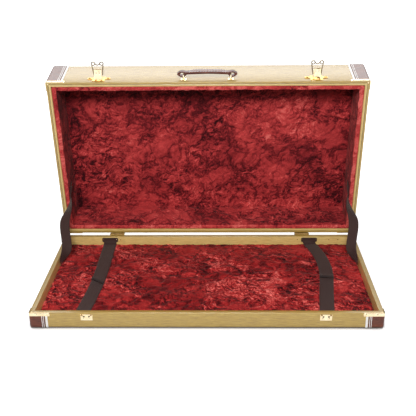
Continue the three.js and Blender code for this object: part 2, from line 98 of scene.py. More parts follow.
# one half of a bail, as (x, height): its leg, where its ear ends, and the dip between the ears
LEG = [(9.8, 0), (12.2, 0), (14, 1.2), (14.4, 4), (15.2, 14), (17.4, 25)]
LEG_END = (5.4, 34.6)
DIP = (0, 31.8)
KEEPER_FACE = 1.8
# where the keeper's slot openings are: the dark boxes there are painted shade
KEEPER_SLOT_SHADE = {"x": 8.0, "half_width": 2.7, "low": 37.2, "high": 41.2}
HANDLE_V = 22.0
HANDLE_WIDTH = 24.0
HANDLE_END_WIDTH = 18.0

LINING_GAP = 0.4
PAD_STEP = 8
COVER_GROWTH = 0.035
COVER_REACH = 4
CLOTH_STEPS = 12
# how far apart the two pile noises lie: their difference is painted light and shade
EMBOSS_LIGHT_SHIFT = (-0.0016, -0.0024, 0.0024)
WEBBING = 1.8
STAY_WIDTH = 34.0
TIE_WIDTH = 45.0
# the ends of a stay: its inset from the side wall or lining, then its place in its own half
STAY_FOOT = (3.2, 90, 30)
STAY_HEAD = (3.0, 50, 184)
HEM_LENGTH = 12.0
SKEW_REACH = 60.0
TAB_WIDTH = 57
TAB_STUD_X = 24
WALL_NAILS = {"left": (38,), "right": (-42, 71, 103)}


# ------------------------------------------------------------------ places
def tray_space(points):
    """Points of the tray's own box: base down, rim up."""
    return np.asarray(points, float) * MM


def shell_space(points):
    """Points (x, v, u): v from the rim to the back panel, u from the hinge to the handle side."""
    x, v, u = np.asarray(points, float).T
    cos, sin = math.cos(LEAN), math.sin(LEAN)
    return np.stack([x, HINGE_Y + v * cos - u * sin, HINGE_Z + v * sin + u * cos], 1) * MM


def shell_box_space(points):
    """Points of the shell's own box, with its base down and its rim up, as for the tray."""
    x, y, z = np.asarray(points, float).T
    return shell_space(np.stack([x, SHELL_DEPTH - z, HINGE_OFFSET + HALF_Y - y], 1))


# ------------------------------------------------------------------ mesh building
class Skin:
    """Collects points, faces and the cloth coordinate of every face corner, in millimetres."""

    def __init__(self):
        self.points = []
        self.faces = []
        self.uvs = []

    def add(self, points):
        start = len(self.points)
        self.points.extend(tuple(float(c) for c in p) for p in points)
        return np.arange(start, len(self.points))

    def ring(self, points):
        """Adds a closed ring, and gives its point numbers with the first again at the end."""
        index = self.add(points)
        return np.append(index, index[0])

    def grid(self, index, uv):
        """Quads over a table of point numbers, with a table of cloth coordinates."""
        index = np.asarray(index)
        for i in range(index.shape[0] - 1):
            for j in range(index.shape[1] - 1):
                corners = ((i, j), (i, j + 1), (i + 1, j + 1), (i + 1, j))
                self.faces.append([int(index[c]) for c in corners])
                self.uvs.extend(tuple(uv[c]) for c in corners)

    def cap(self, loop, uv):
        self.faces.append([int(i) for i in loop])
        self.uvs.extend(tuple(c) for c in uv)

    def build(self, name, place, material, body=None, replaces=(), sharp=40.0):
        mesh = bpy.data.meshes.new(name)
        mesh.from_pydata([tuple(p) for p in place(self.points)], [], self.faces)
        layer = mesh.uv_layers.new(name="cloth")
        layer.data.foreach_set("uv", (np.asarray(self.uvs) * MM).astype(np.float32).ravel())
        return finish_piece(name, mesh, material, body, replaces, sharp)


def finish_piece(name, mesh, material, body=None, replaces=(), sharp=40.0):
    """Closes off a mesh: normals outward, smooth with sharp edges, and tied to its body."""
    shape = bmesh.new()
    shape.from_mesh(mesh)
    bmesh.ops.recalc_face_normals(shape, faces=shape.faces)
    shape.to_mesh(mesh)
    shape.free()
    mesh.shade_smooth()
    mesh.set_sharp_from_angle(angle=math.radians(sharp))
    mesh.materials.append(material)
    piece = bpy.data.objects.new(name, mesh)
    bpy.context.scene.collection.objects.link(piece)
    if body:
        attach(piece, body)
    if replaces:
        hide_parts(*replaces)
    return piece


class Loop:
    """The plan of a box: a rectangle with round corners and a fixed number of points."""

    def __init__(self, half_x, half_y, radius, step, arc_steps=6, least=0.5):
        self.half = (half_x, half_y)
        self.radius = radius
        self.least = least
        self.arc_steps = arc_steps
        self.runs = [max(int(2 * h / step), 1) for h in (half_x, half_y)]
        first = self.ring(0)
        steps = np.linalg.norm(np.diff(np.vstack([first, first[:1]]), axis=0), axis=1)
        self.along = np.concatenate([[0], np.cumsum(steps)])
        self.count = len(first)

    def ring(self, inset):
        radius = max(self.radius - inset, self.least)
        cx, cy = (h - inset - radius for h in self.half)
        corners = []
        for quarter, (sx, sy) in enumerate(((1, 1), (-1, 1), (-1, -1), (1, -1))):
            angles = (quarter + np.arange(self.arc_steps + 1) / self.arc_steps) * math.pi / 2
            corners.append(np.stack([
                sx * cx + radius * np.cos(angles), sy * cy + radius * np.sin(angles)], 1))
        points = []
        for quarter, corner in enumerate(corners):
            points.append(corner)
            start, end = corner[-1], corners[(quarter + 1) % 4][0]
            share = np.arange(1, self.runs[quarter % 2]) / self.runs[quarter % 2]
            points.append(start + (end - start) * share[:, None])
        return np.vstack(points)

    def outward(self):
        """The direction that points out of the box at each point."""
        return (self.ring(0) - self.ring(1)) / np.linalg.norm(
            self.ring(0) - self.ring(1), axis=1)[:, None]


def spline(points, per_span):
    """A smooth line through points, with per_span steps between two of them."""
    p = np.asarray(points, float)
    p = np.vstack([2 * p[0] - p[1], p, 2 * p[-1] - p[-2]])
    line = []
    for a, b, c, d in zip(p, p[1:], p[2:], p[3:]):
        for t in np.arange(per_span) / per_span:
            line.append(0.5 * (2 * b + (c - a) * t + (2 * a - 5 * b + 4 * c - d) * t ** 2
                               + (3 * b - a - 3 * c + d) * t ** 3))
    line.append(p[-2])
    return np.array(line)


def travelled(points):
    """The distance along a line of points, from 0 at the first."""
    steps = [math.dist(a, b) for a, b in zip(points, points[1:])]
    return np.concatenate([[0], np.cumsum(steps)])


def ease(x):
    x = np.clip(x, 0.0, 1.0)
    return x * x * (3 - 2 * x)


def rounding(distance, radius):
    """How far a rounded edge has risen, from 0 at the edge to 1 at the radius."""
    t = np.clip(np.asarray(distance, float) / radius, 0, 1)
    return np.sqrt(1 - (1 - t) ** 2)


def spread(low, high, step, edge):
    """Stations from low to high, closer together within edge of both ends."""
    near = edge * np.array([0.0, 0.06, 0.2, 0.42, 0.7, 1.0])
    count = max(int((high - low - 2 * edge) / step), 2)
    middle = np.linspace(low + edge, high - edge, count + 1)[1:-1]
    return np.concatenate([low + near, middle, (high - near)[::-1]])


# ------------------------------------------------------------------ materials
class Recipe:
    """A material under construction, with short names for what its nodes do."""

    def __init__(self, name):
        self.material = bpy.data.materials.new(name)
        self.material.use_nodes = True
        self.nodes = self.material.node_tree.nodes
        self.links = self.material.node_tree.links
        self.shader = self.nodes["Principled BSDF"]

    def node(self, kind, inputs=(), **settings):
        made = self.nodes.new(kind)
        for key, value in settings.items():
            setattr(made, key, value)
        for key, value in dict(inputs).items():
            self.feed(made.inputs[key], value)
        return made

    def feed(self, socket, value):
        if isinstance(value, bpy.types.NodeSocket):
            self.links.new(value, socket)
        else:
            socket.default_value = value

    def cloth(self):
        return self.node("ShaderNodeUVMap", uv_map="cloth").outputs["UV"]

    def place(self):
        return self.node("ShaderNodeTexCoord").outputs["Object"]

    def scaled(self, vector, scale, turn=0.0):
        made = self.node("ShaderNodeMapping", {"Vector": vector, "Scale": scale})
        made.inputs["Rotation"].default_value = (0, 0, turn)
        return made.outputs["Vector"]

    def noise(self, vector, scale, detail=3.0, rough=0.5, warp=0.0):
        made = self.node("ShaderNodeTexNoise", {
            "Vector": vector, "Scale": scale, "Detail": detail, "Roughness": rough,
            "Distortion": warp})
        return made.outputs["Fac"]

    def wave(self, vector, scale, axis):
        made = self.node("ShaderNodeTexWave", {"Vector": vector, "Scale": scale},
                         wave_type="BANDS", bands_direction=axis, wave_profile="SIN")
        return made.outputs["Fac"]

    def math(self, operation, a, b=0.5, c=0.0):
        made = self.node("ShaderNodeMath", operation=operation)
        for socket, value in zip(made.inputs, (a, b, c)):
            self.feed(socket, value)
        return made.outputs[0]

    def ramp(self, value, stops):
        made = self.node("ShaderNodeValToRGB", {"Fac": value})
        elements = made.color_ramp.elements
        while len(elements) < len(stops):
            elements.new(0.5)
        for element, (at, colour) in zip(elements, stops):
            element.position = at
            element.color = (*colour, 1)
        return made.outputs["Color"]

    def mix(self, share, a, b, blend="MIX"):
        made = self.node("ShaderNodeMix", data_type="RGBA", blend_type=blend)
        self.feed(made.inputs["Factor"], share)
        self.feed(made.inputs["A"], a if not isinstance(a, tuple) else (*a, 1))
        self.feed(made.inputs["B"], b if not isinstance(b, tuple) else (*b, 1))
        return made.outputs["Result"]

    def bump(self, height, distance, strength=1.0, under=None):
        made = self.node("ShaderNodeBump", {
            "Height": height, "Distance": distance, "Strength": strength})
        if under is not None:
            self.feed(made.inputs["Normal"], under)
        return made.outputs["Normal"]

    def finish(self, **sockets):
        for key, value in sockets.items():
            self.feed(self.shader.inputs[key.replace("_", " ")], value)
        return self.material


def tone(red, green, blue):
    """A colour given as 0 to 255 on a screen, as the linear values that a shader takes."""
    levels = np.array([red, green, blue]) / 255
    linear = np.where(levels <= 0.04045, levels / 12.92, ((levels + 0.055) / 1.055) ** 2.4)
    return tuple(float(c) for c in linear)


def make_tweed(name, shades, thread):
    """Lacquered tweed: a fine weave with long darker and lighter threads along the wall."""
    r = Recipe(name)
    cloth = r.cloth()
    streaks = r.noise(r.scaled(cloth, (24, 560, 1)), 1.0, 4.0, 0.62)
    slubs = r.noise(r.scaled(cloth, (70, 800, 1)), 1.0, 2.0, 0.5)
    blotches = r.noise(cloth, 9.0, 3.0, 0.5)
    warp = r.wave(cloth, 260.0, "X")
    weft = r.wave(cloth, 300.0, "Y")
    weave = r.math("MULTIPLY", warp, weft)
    threads = r.ramp(streaks, list(zip((0.28, 0.46, 0.60, 0.80), shades)))
    slub_share = r.math("MULTIPLY", r.ramp(slubs, [(0.56, (0, 0, 0)), (0.7, (1, 1, 1))]), 0.5)
    darker = r.mix(slub_share, threads, thread)
    worn = r.mix(r.math("MULTIPLY", blotches, 0.12), darker, shades[-1])
    woven = r.mix(r.math("MULTIPLY", weave, 0.16), worn, shades[-1])
    height = r.math("ADD", weave, r.math("MULTIPLY", streaks, 1.2))
    rough = r.math("MULTIPLY_ADD", slubs, 0.16, 0.40)
    return r.finish(Base_Color=woven, Roughness=rough, Normal=r.bump(height, 0.0003, 0.6),
                    Specular_IOR_Level=0.5, Coat_Weight=0.8, Coat_Roughness=0.24, Coat_IOR=1.65)


def make_plush(name, flank_light_strength, shades):
    """Crushed pile: broad patches, cut by creases with painted shade in them; one side of each crease
    has painted light and the other painted shade.
    """
    r = Recipe(name)
    at = r.place()
    drift = r.node("ShaderNodeTexNoise", {"Vector": at, "Scale": 11.0, "Detail": 3.0})
    centred = r.node("ShaderNodeVectorMath", {0: drift.outputs["Color"], 1: (0.5, 0.5, 0.5)},
                     operation="SUBTRACT").outputs[0]
    pushed = r.node("ShaderNodeVectorMath", {0: centred, 1: (0.07, 0.07, 0.07)},
                    operation="MULTIPLY").outputs[0]
    bent = r.node("ShaderNodeVectorMath", {0: at, 1: pushed}, operation="ADD").outputs[0]
    beside = r.node("ShaderNodeVectorMath", {0: bent, 1: EMBOSS_LIGHT_SHIFT}, operation="ADD").outputs[0]
    patches = r.noise(bent, 7.0, 2.0, 0.5)
    # two pile noises a little apart: their difference paints light on one side of each crease and
    # shade on the other
    near, far = (r.noise(v, 26.0, 7.0, 0.66, 0.3) for v in (bent, beside))
    flank_light_and_shade = r.math("SUBTRACT", near, far)
    crease = r.node("ShaderNodeTexNoise", {
        "Vector": bent, "Scale": 13.0, "Detail": 5.0, "Roughness": 0.62, "Distortion": 0.4})
    fold = r.math("ABSOLUTE", r.math("SUBTRACT", crease.outputs["Fac"], 0.5))
    sharp = r.math("MINIMUM", r.math("MULTIPLY", fold, 16.0), 1.0)
    fibres = r.noise(at, 460.0, 4.0, 0.65)
    # how strongly that painted light and shade shows, which varies over the pile
    flank_light_share = r.math("MULTIPLY_ADD", r.ramp(r.noise(bent, 9.0, 2.0, 0.5), [
        (0.40, (0, 0, 0)), (0.60, (1, 1, 1))]), flank_light_strength, 0.9)
    pile_light_and_shade = r.node("ShaderNodeAttribute", attribute_name="pile_light_and_shade").outputs["Fac"]
    lay = r.math("MULTIPLY_ADD", patches, 0.55, r.math("MULTIPLY", flank_light_and_shade, flank_light_share))
    # lighter away from the crease lines, so the crease lines carry painted shade
    lay = r.math("MULTIPLY_ADD", sharp, 0.16, lay)
    lay = r.math("MULTIPLY_ADD", fibres, 0.24, lay)
    # painted light and shade, set point by point on the plush pieces
    lay = r.math("MULTIPLY_ADD", pile_light_and_shade, 0.16, lay)
    colour = r.ramp(lay, list(zip((0.23, 0.39, 0.53, 0.67, 0.85), shades)))
    relief = r.math("MULTIPLY_ADD", sharp, 0.3, near)
    normal = r.bump(fibres, 0.0006, 0.5, r.bump(relief, 0.006, 0.8))
    return r.finish(Base_Color=colour, Roughness=0.85, Normal=normal, Specular_IOR_Level=0.12,
                    Sheen_Weight=0.12, Sheen_Roughness=0.4, Sheen_Tint=(1.0, 0.4, 0.38, 1))


def make_webbing(name, base, light):
    r = Recipe(name)
    cloth = r.cloth()
    ribs = r.wave(cloth, 210.0, "Y")
    cords = r.wave(cloth, 330.0, "X")
    fuzz = r.noise(cloth, 700.0, 3.0, 0.6)
    weave = r.math("MULTIPLY", ribs, cords)
    stain = r.noise(cloth, 26.0, 3.0, 0.5)
    colour = r.mix(r.math("MULTIPLY_ADD", weave, 0.35, r.math("MULTIPLY", fuzz, 0.4)), base, light)
    colour = r.mix(r.math("MULTIPLY", stain, 0.3), colour, tone(50, 36, 33))
    normal = r.bump(weave, 0.0004, 0.8, r.bump(fuzz, 0.0003, 0.5))
    return r.finish(Base_Color=colour, Roughness=0.62, Normal=normal, Specular_IOR_Level=0.3,
                    Sheen_Weight=0.1, Sheen_Roughness=0.4)


def make_leather():
    r = Recipe("brown_leather")
    at = r.place()
    grain = r.node("ShaderNodeTexVoronoi", {"Vector": at, "Scale": 620.0},
                   feature="DISTANCE_TO_EDGE").outputs["Distance"]
    creases = r.noise(r.scaled(at, (0.35, 1, 1.6)), 210.0, 4.0, 0.6, 0.4)
    cloudy = r.noise(at, 46.0, 3.0, 0.5)
    colour = r.ramp(r.math("MULTIPLY_ADD", creases, 0.55, r.math("MULTIPLY", cloudy, 0.45)), [
        (0.30, tone(64, 20, 5)), (0.52, tone(100, 42, 17)), (0.72, tone(128, 64, 34))])
    rough = r.math("MULTIPLY_ADD", creases, 0.25, 0.22)
    normal = r.bump(grain, 0.0002, 0.5, r.bump(creases, 0.0005, 0.6))
    return r.finish(Base_Color=colour, Roughness=rough, Normal=normal, Specular_IOR_Level=0.15,
                    Coat_Weight=0.5, Coat_Roughness=0.22, Coat_IOR=1.6)


def make_trim():
    r = Recipe("pale_trim")
    grain = r.noise(r.place(), 420.0, 3.0, 0.5)
    colour = r.ramp(grain, [(0.3, tone(244, 241, 238)), (0.7, tone(255, 254, 252))])
    return r.finish(Base_Color=colour, Roughness=0.42, Normal=r.bump(grain, 0.0002, 0.4),
                    Specular_IOR_Level=0.5)


def make_metal(name, dark, light, rough):
    r = Recipe(name)
    at = r.place()
    tarnish = r.noise(at, 70.0, 4.0, 0.6)
    scratches = r.noise(r.scaled(at, (0.2, 1, 1), 0.3), 900.0, 2.0, 0.5)
    colour = r.mix(tarnish, dark, light)
    roughness = r.math("MULTIPLY_ADD", scratches, 0.12, rough)
    return r.finish(Base_Color=colour, Metallic=1.0, Roughness=roughness,
                    Normal=r.bump(scratches, 0.00008, 0.4))


TWEED = make_tweed("tweed_cloth", [tone(138, 102, 36), tone(172, 138, 54), tone(186, 153, 66),
                                   tone(212, 184, 98)], tone(112, 84, 30))
# paler copy of the tweed for the inside: partly its own paler tone, partly painted light
INNER_TWEED = make_tweed("inner_cloth", [tone(172, 134, 66), tone(214, 182, 104), tone(226, 196, 120),
                                         tone(242, 222, 158)], tone(156, 118, 60))
# dark cloth for the faces of the rim's groove: painted shadow in the groove
GROOVE_SHADOW = make_webbing("seam_shadow", tone(70, 50, 26), tone(112, 84, 44))
# the number is the strength of the painted light and shade at the creases; the tray's plush gets more
PLUSH = make_plush("crushed_plush", 1.6, [
    tone(48, 8, 14), tone(112, 26, 32), tone(172, 52, 54), tone(204, 70, 69), tone(236, 116, 108)])
TRAY_PLUSH = make_plush("plush_with_more_painted_light", 3.0, [
    tone(40, 4, 9), tone(98, 14, 19), tone(158, 34, 35), tone(204, 60, 58), tone(246, 126, 116)])
STRAP = make_webbing("brown_webbing", tone(46, 27, 24), tone(92, 62, 55))
STRAP_DARK = make_webbing("dark_webbing", tone(20, 13, 13), tone(46, 33, 31))
LEATHER = make_leather()
TRIM = make_trim()
BRASS = make_metal("polished_brass", tone(206, 180, 130), tone(244, 232, 204), 0.12)
AGED_BRASS = make_metal("aged_brass", tone(84, 70, 48), tone(168, 148, 112), 0.22)
# a near-black metal for the boxes of painted shade in the keeper
SLOT_SHADE_METAL = make_metal("painted_slot_shade", tone(34, 24, 14), tone(66, 50, 32), 0.6)
# a darker, warmer brass for the latch bases: partly their own warmer tone, partly painted shade and
# reflection
WARM_SHADED_BRASS = make_metal("warm_brass_with_painted_shade", tone(176, 122, 50), tone(238, 196, 112), 0.16)
HINGE_BRASS = make_metal("dull_brass", tone(120, 92, 52), tone(176, 146, 92), 0.4)
STEEL = make_metal("plain_steel", tone(150, 146, 140), tone(196, 192, 186), 0.24)

BODY_TRAY = "tray"
BODY_SHELL = "shell"
ENDS = (("left", -1), ("right", 1))
CORNERS = [(f"{side}_{end}", sx, sy)
           for end, sx in ENDS for side, sy in (("front", -1), ("hinge", 1))]


# ------------------------------------------------------------------ the tweed boxes
BASE_ROWS = 9
SHELL_LIP = 7.9
SHELL_GROOVE = (6.8, 7.2, 7.6)


def tweed_box(name, height, place, body, rim, replaces, lip=WALL, groove=()):
    """The board box under its covering, with the given rows across its rim. The paler inner cloth
    starts at the inset lip;
    its paleness is partly its own tone and partly painted light. The seam between the two lies in the
    groove, whose dark cloth is painted shadow."""
    plan = Loop(HALF_X, HALF_Y, CORNER_R, 40)
    rows = []
    for angle in np.radians(np.linspace(0, 90, BASE_ROWS)):
        rows.append((EDGE_R * (1 - math.sin(angle)), EDGE_R * (1 - math.cos(angle))))
    rows += [(0, height * 0.5)] + [(inset, height - drop) for inset, drop in rim]
    rows += [(WALL, height * 0.5), (WALL, PANEL)]
    skin = Skin()
    table = []
    for inset, z in rows:
        ring = plan.ring(inset)
        table.append(skin.ring(np.column_stack([ring, np.full(len(ring), z)])))
    skin.grid(table, np.stack(np.meshgrid(plan.along, travelled(rows)), -1))
    for row in (0, -1):
        loop = table[row][:-1]
        skin.cap(loop, [skin.points[i][:2] for i in loop])
    box = skin.build(name, place, TWEED, body, replaces, sharp=30)
    box.data.materials.append(INNER_TWEED)
    box.data.materials.append(GROOVE_SHADOW)
    for face in box.data.polygons:
        row = min(face.index // plan.count, len(rows) - 1)
        inset = rows[row][0]
        if face.index == len(box.data.polygons) - 2 or row < BASE_ROWS:
            face.material_index = 0
        elif inset in groove:
            face.material_index = 2
        elif inset >= lip:
            face.material_index = 1
    return box


PLAIN_RIM = [(0, 1.6), (0.25, 0.7), (0.8, 0.15), (1.6, 0), (13.4, 0), (14.2, 0.15), (14.75, 0.7),
             (15, 1.6)]
STEPPED_RIM = [(0, 1.6), (0.25, 1.1), (0.8, 0.75), (1.6, 0.6), (6.8, 0.6), (7.2, 1.5), (7.6, 1.5),
               (7.9, 0.3), (8.4, 0), (13.4, 0), (14.2, 0.15), (14.75, 0.7), (15, 1.6)]
WALLS = ("front", "hinge", "left", "right")
tweed_box("tray_tweed", TRAY_RIM, tray_space, BODY_TRAY, PLAIN_RIM,
          ["tray_bottom_panel"] + [f"tray_wall_{w}" for w in WALLS])
tweed_box("shell_tweed", SHELL_RIM, shell_box_space, BODY_SHELL, STEPPED_RIM,
          ["shell_back_panel"] + [f"shell_wall_{w}" for w in WALLS],
          SHELL_LIP, SHELL_GROOVE)


# ------------------------------------------------------------------ corners
def on_case(q, w, grow):
    """A point of the +x +y corner. q runs round it, in mm from the corner: negative along x and
    positive along y. w runs up it: the height on the wall, and the arc length below it."""
    angle = min(math.pi / 2 - (EDGE_R - w) / EDGE_R, math.pi / 2)
    out = (EDGE_R + grow) * math.sin(angle) - EDGE_R
    z = w if w > EDGE_R else EDGE_R - (EDGE_R + grow) * math.cos(angle)
    radius = max(CORNER_R + out, 0.5)
    if q <= -CORNER_R:
        return HALF_X + q, HALF_Y + out, z
    if q >= CORNER_R:
        return HALF_X + out, HALF_Y - q, z
    turn = (q + CORNER_R) / (2 * CORNER_R) * math.pi / 2
    cx, cy = HALF_X + out - radius, HALF_Y + out - radius
    return cx + radius * math.sin(turn), cy + radius * math.cos(turn), z


def raised(skin, q_range, w_range, low, high, edge, sx, sy, step=4.0):
    """A closed pad with soft edges on a corner of the case, between two heights above it."""
    def stations(start, end):
        near = edge * np.array([0.0, 0.12, 0.4, 1.0])
        count = max(int((end - start - 2 * edge) / step), 1)
        inner = np.linspace(start + edge, end - edge, count + 1)[1:-1]
        values = np.concatenate([start + near, inner, (end - near)[::-1]])
        if start < 0 < end:
            bend = np.linspace(-CORNER_R, CORNER_R, 9)
            values = np.concatenate([values[values < -CORNER_R - 0.5], bend,
                                     values[values > CORNER_R + 0.5]])
        return values
    qs, ws = stations(*q_range), stations(*w_range)
    q_rise = rounding(np.minimum(qs - qs[0], qs[-1] - qs), edge)
    w_rise = rounding(np.minimum(ws - ws[0], ws[-1] - ws), edge)
    rise = np.outer(w_rise, q_rise)
    uv = np.stack(np.meshgrid(qs, ws), -1)
    outer = skin.add([(sx * x, sy * y, z) for i, w in enumerate(ws) for j, q in enumerate(qs)
                      for x, y, z in [on_case(q, w, low + (high - low) * rise[i, j])]])
    outer = outer.reshape(len(ws), len(qs))
    skin.grid(outer, uv)
    inner = outer.copy()
    inside = skin.add([(sx * x, sy * y, z) for w in ws[1:-1] for q in qs[1:-1]
                       for x, y, z in [on_case(q, w, low)]])
    inner[1:-1, 1:-1] = inside.reshape(len(ws) - 2, len(qs) - 2)
    skin.grid(inner, uv)


def turned(skin, at, axis, profile, sides):
    """Rings round an axis, closed at the first: the profile is (radius, distance along it)."""
    turn = Vector((0, 0, 1)).rotation_difference(axis).to_matrix()
    angles = np.arange(sides) / sides * 2 * math.pi
    rings = [skin.ring([
        Vector(at) + turn @ Vector((radius * math.cos(a), radius * math.sin(a), along))
        for a in angles]) for radius, along in profile]
    skin.grid(rings, np.stack(np.meshgrid(np.arange(sides + 1.0), np.arange(len(rings) * 1.0)), -1))
    skin.cap(rings[0][:-1], [(0, 0)] * sides)
    return rings


def dome(skin, at, towards, radius, height, sides=16):
    """A rivet or nail head that stands on a surface."""
    axis = Vector(towards).normalized()
    profile = ((1.0, -0.3), (1.0, 0.12), (0.93, 0.42), (0.72, 0.72), (0.4, 0.93))
    rings = turned(skin, at, axis, [(radius * r, height * h) for r, h in profile], sides)
    top = skin.add([Vector(at) + axis * height])[0]
    for j in range(sides):
        skin.cap([rings[-1][j], rings[-1][j + 1], top], [(0, 0), (1, 0), (0, 1)])


STRIPES = ((35.4, 37.4, 1.0), (40.4, 42.4, 1.0), (46.2, 53.2, 1.6))
PATCH_LENGTH = 45.4


def case_corner(prefix, corner, sx, sy, height, place, body):
    """Leather over the corner with pale stripes at its ends, under a brass bracket at the rim."""
    top = height - BRACKET_HEIGHT - 0.3
    patch = Skin()
    raised(patch, (-PATCH_LENGTH, PATCH_LENGTH), (3.2, top), 0.1, 1.7, 1.4, sx, sy)
    patch.build(f"{prefix}_leather_{corner}", place, LEATHER, body,
                [f"{prefix}_corner_{corner}"])
    stripes = Skin()
    for near, far, proud in STRIPES:
        for q_range in ((-far, -near), (near, far)):
            base = 1.2 if far < PATCH_LENGTH else 0.1
            low = 1.8 if far < PATCH_LENGTH else 1.4
            raised(stripes, q_range, (low, top + 0.1), base, base + proud, 0.6, sx, sy)
    stripes.build(f"{prefix}_stripes_{corner}", place, TRIM, body)
    bracket = Skin()
    low = height - BRACKET_HEIGHT
    raised(bracket, (-BRACKET_LONG, BRACKET_SHORT), (low, height - 0.2), 0.1, 2.3, 0.8, sx, sy, 6)
    rivets = ((-BRACKET_LONG + 7, (0, sy, 0)), (-20, (0, sy, 0)), (BRACKET_SHORT - 8, (sx, 0, 0)))
    for q, out in rivets:
        x, y, z = on_case(q, low + BRACKET_HEIGHT * 0.5, 2.25)
        dome(bracket, (sx * x, sy * y, z), out, 2.7, 1.2)
    bracket.build(f"{prefix}_brass_{corner}", place, BRASS, body,
                  [f"{prefix}_bracket_{corner}"])


for label, x_side, y_side in CORNERS:
    case_corner("tray", label, x_side, y_side, TRAY_RIM, tray_space, BODY_TRAY)
    case_corner("shell", label, x_side, y_side, SHELL_RIM, shell_box_space, BODY_SHELL)

for label, rim, into, body_name in (("tray", TRAY_RIM, tray_space, BODY_TRAY),
                                    ("shell", SHELL_RIM - 0.6, shell_box_space, BODY_SHELL)):
    nails = Skin()
    for _, x_side, y_side in CORNERS:
        dome(nails, (x_side * (HALF_X - 6), y_side * (HALF_Y - 6), rim), (0, 0, 1), 2.2, 0.28)
    nails.build(f"{label}_rim_nails", into, BRASS, body_name)


# ------------------------------------------------------------------ plush linings
TIE_ROUTES = {
    "left": [(-270, -377), (-235, -373), (-100, -361), (0, -356), (90, -355), (270, -357)],
    "right": [(-270, 357), (-235, 361), (-100, 376), (0, 388), (90, 391), (185, 380), (270, 358)],
}
ROUTE_LINES = {end: spline(route, 12) for end, route in TIE_ROUTES.items()}


def route_x(end, y):
    line = ROUTE_LINES[end]
    return np.interp(y, line[:, 0], line[:, 1])


def crumple(x, y, z, seed):
    """Height of the crushed pile, about -1 to 1, at a place in millimetres."""
    at = Vector((x, y, z)) * 0.016 + Vector((seed, 0, 0))
    bend = noise.noise_vector(at * 0.7)
    broad = noise.noise(at + bend * 0.9)
    folds = 1 - abs(noise.noise(at * 2.3 + bend * 1.6)) * 2.6
    fine = noise.noise(at * 7.0 + bend)
    return 0.55 * broad + 0.42 * folds + 0.22 * fine


def slab(skin, s_range, t_range, thickness, edge, step, relief):
    """A closed pad: flat below, round at its edges, with a relief on top."""
    ss, ts = spread(*s_range, step, edge), spread(*t_range, step, edge)
    near_s = np.minimum(ss - ss[0], ss[-1] - ss)
    near_t = np.minimum(ts - ts[0], ts[-1] - ts)
    rise = np.outer(rounding(near_t, edge), rounding(near_s, edge))
    heights = thickness - edge + edge * rise
    fade = np.outer(ease(near_t / (2 * edge)), ease(near_s / (2 * edge)))
    bumps = np.array([[relief(s, t) for s in ss] for t in ts])
    heights = heights + bumps * fade
    top = skin.add([(s, t, heights[i, j]) for i, t in enumerate(ts) for j, s in enumerate(ss)])
    top = top.reshape(len(ts), len(ss))
    grid_s, grid_t = np.meshgrid(ss, ts)
    skin.grid(top, np.stack([grid_s, grid_t], -1))
    border = np.concatenate([top[0, :-1], top[:-1, -1], top[-1, :0:-1], top[:0:-1, 0]])
    foot = skin.add([(*skin.points[i][:2], 0.0) for i in border])
    around = np.arange(len(border) + 1.0)
    skin.grid([np.append(border, border[0]), np.append(foot, foot[0])],
              np.stack(np.meshgrid(around, [0.0, thickness]), -1))
    skin.cap(foot[::-1], [skin.points[i][:2] for i in foot[::-1]])
    return np.concatenate([border, foot])


def crush(piece, held, growth, reach):
    """Cloth simulation of a cover that was cut larger than its pad, so that it buckles into folds.
    The held points stay, and no point moves further than reach."""
    start = np.array([v.co for v in piece.data.vertices])
    group = piece.vertex_groups.new(name="held")
    group.add([int(i) for i in held], 1.0, "REPLACE")
    cloth = piece.modifiers.new("cloth", "CLOTH")
    cloth.settings.vertex_group_mass = "held"
    cloth.settings.quality = 3
    cloth.settings.mass = 0.05
    cloth.settings.bending_stiffness = 0.02
    cloth.settings.shrink_min = -growth
    cloth.settings.effector_weights.gravity = 0
    cloth.point_cache.frame_end = CLOTH_STEPS
    for step in range(1, CLOTH_STEPS + 1):
        bpy.context.scene.frame_set(step)
    draped = piece.evaluated_get(bpy.context.evaluated_depsgraph_get()).data
    moved = np.array([v.co for v in draped.vertices]) - start
    distance = np.linalg.norm(moved, axis=1)[:, None]
    moved *= reach * MM * np.tanh(distance / (reach * MM)) / np.maximum(distance, 1e-9)
    piece.modifiers.remove(cloth)
    piece.vertex_groups.remove(group)
    piece.data.vertices.foreach_set("co", (start + moved).astype(np.float32).ravel())
    bpy.context.scene.frame_set(1)
    shape = bmesh.new()
    shape.from_mesh(piece.data)
    quads = [e for e in shape.edges if all(len(face.verts) == 4 for face in e.link_faces)]
    bmesh.ops.subdivide_edges(shape, edges=quads, cuts=1, smooth=1.0, use_grid_fill=True)
    shape.to_mesh(piece.data)
    shape.free()


def paint_pile_light(piece, lay):
    """Paints light and shade into the pile's colour at each point: -1 painted shade, 1 painted
    highlight.
    """
    pile_light_and_shade = piece.data.attributes.new("pile_light_and_shade", "FLOAT", "POINT")
    pile_light_and_shade.data.foreach_set("value", [float(value) for value in lay])


def tray_relief(x, y):
    pressed = min(abs(x - route_x(end, y)) for end, _ in ENDS)
    share = float(ease((pressed - 16) / 22))
    return -1.3 + share * (0.9 + 1.5 * crumple(x, y, 0, 3.1))


